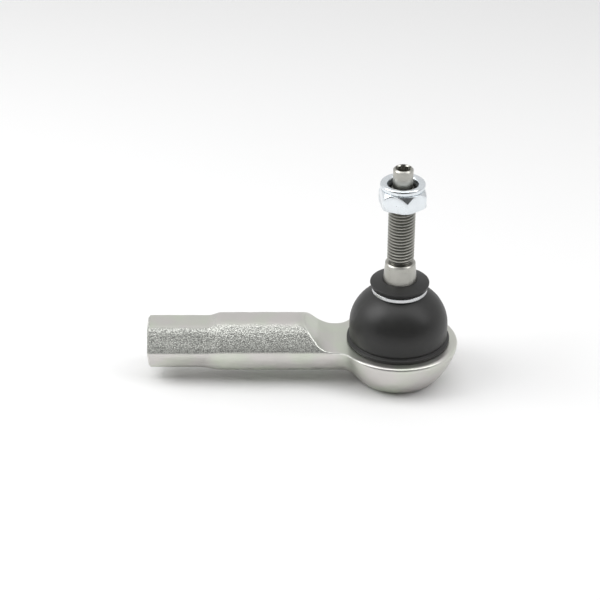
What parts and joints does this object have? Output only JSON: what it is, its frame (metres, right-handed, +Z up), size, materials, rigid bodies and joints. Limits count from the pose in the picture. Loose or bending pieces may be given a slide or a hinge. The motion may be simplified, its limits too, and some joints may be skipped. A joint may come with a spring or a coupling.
{
  "type": "tie rod end",
  "caption": "Steering tie rod end: forged housing with a threaded rod socket, swivelling tapered ball stud, rubber dust boot and prevailing-torque lock nut.",
  "frame": {"origin": "centre of the threaded bore where its full thread begins, 0.6 mm inside the mouth", "axes": "+X along the stem towards the ball, +Z up the stud, +Y completes the right-handed frame; the ball centre is at x = 0.0944"},
  "size_m": [0.118, 0.046, 0.0876],
  "materials": {
    "housing_zinc": "zinc plated and passivated forging, shot-blasted with machined faces",
    "stud_steel": "ground and thread-rolled steel, satin",
    "seat_plastic": "natural acetal, smooth",
    "spring_steel": "hardened and blued",
    "cover_steel": "pressed and zinc plated",
    "ring_steel": "bright zinc plated strip",
    "boot_rubber": "satin moulded rubber",
    "nut_zinc": "bright zinc plated",
    "insert_nylon": "dark moulded nylon"
  },
  "bodies": {
    "housing_body": {"housing": "housing_zinc", "upper_ball_seat": "seat_plastic", "lower_ball_seat": "seat_plastic", "seat_spring": "spring_steel", "end_cover": "cover_steel", "boot_base_ring": "ring_steel"},
    "boot_body": {"dust_boot": "boot_rubber"},
    "boot_ring_body": {"boot_upper_ring": "ring_steel"},
    "stud_body": {"ball_stud": "stud_steel"},
    "nut_lift_body": {"nut_locking_insert": "insert_nylon"},
    "nut_body": {"lock_nut": "nut_zinc"}
  },
  "joints": [
    {"name": "tilt_sideways", "type": "hinge", "parent": "housing_body", "child": "boot_body", "pos_m": [0.0944, 0, 0], "axis": [1, 0, 0], "range_deg": [-17, 17], "deforming": ["dust_boot"]},
    {"name": "tilt_along_stem", "type": "hinge", "parent": "boot_body", "child": "boot_ring_body", "pos_m": [0.0944, 0, 0], "axis": [0, 1, 0], "range_deg": [-17, 17], "deforming": ["dust_boot"]},
    {"name": "stud_spin", "type": "hinge", "parent": "boot_ring_body", "child": "stud_body", "pos_m": [0.0944, 0, 0], "axis": [0, 0, 1], "continuous": true},
    {"name": "nut_lift", "type": "slide", "parent": "stud_body", "child": "nut_lift_body", "axis": [0, 0, 1], "range_m": [-0.0213, 0.0063]},
    {"name": "nut_turn", "type": "hinge", "parent": "nut_lift_body", "child": "nut_body", "pos_m": [0.0944, 0, 0.0587], "axis": [0, 0, 1], "range_deg": [-6000, 1750]}
  ],
  "couplings": [
    {"joint": "nut_lift", "follows": "nut_turn", "m_per_rad": 0.00019894}
  ]
}
